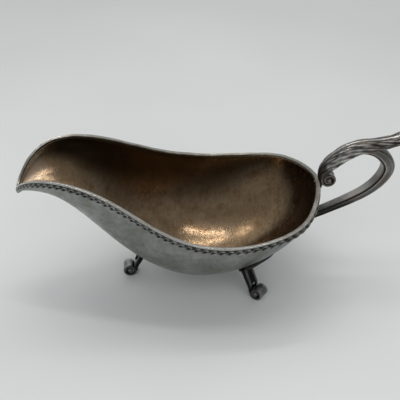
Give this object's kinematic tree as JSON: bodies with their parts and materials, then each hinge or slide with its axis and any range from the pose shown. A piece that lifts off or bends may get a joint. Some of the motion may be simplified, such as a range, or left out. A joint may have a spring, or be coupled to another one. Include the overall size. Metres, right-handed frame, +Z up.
{
  "type": "gravy boat",
  "caption": "Silver-plated gravy boat: an open spouted bowl with a roped rim, a leaf-capped loop handle and scroll feet on lobed knee plates.",
  "frame": {"origin": "on the table under the middle of the object's box", "axes": "+X from the spout to the handle, +Y across the bowl to its left side, +Z up"},
  "size_m": [0.2259, 0.096, 0.0965],
  "materials": {
    "bowl_silver": "tarnished silver plate, soft grey outside and brown satin inside",
    "rim_silver": "worn, lighter silver plate",
    "border_silver": "silver plate with dark tarnish in its recesses",
    "cast_silver": "cast and plated metal, dark tarnish with brown patches"
  },
  "bodies": {
    "root": {"bowl": "bowl_silver", "rim_wire": "rim_silver", "rope_border": "border_silver", "handle_strap": "cast_silver", "handle_leaf": "cast_silver", "handle_volute": "cast_silver", "handle_lower_pad": "cast_silver", "knee_plate_front": "cast_silver", "knee_plate_left": "cast_silver", "knee_plate_right": "cast_silver", "leg_shank_front": "cast_silver", "leg_shank_left": "cast_silver", "leg_shank_right": "cast_silver", "foot_scroll_front": "cast_silver", "foot_scroll_left": "cast_silver", "foot_scroll_right": "cast_silver"}
  },
  "joints": []
}
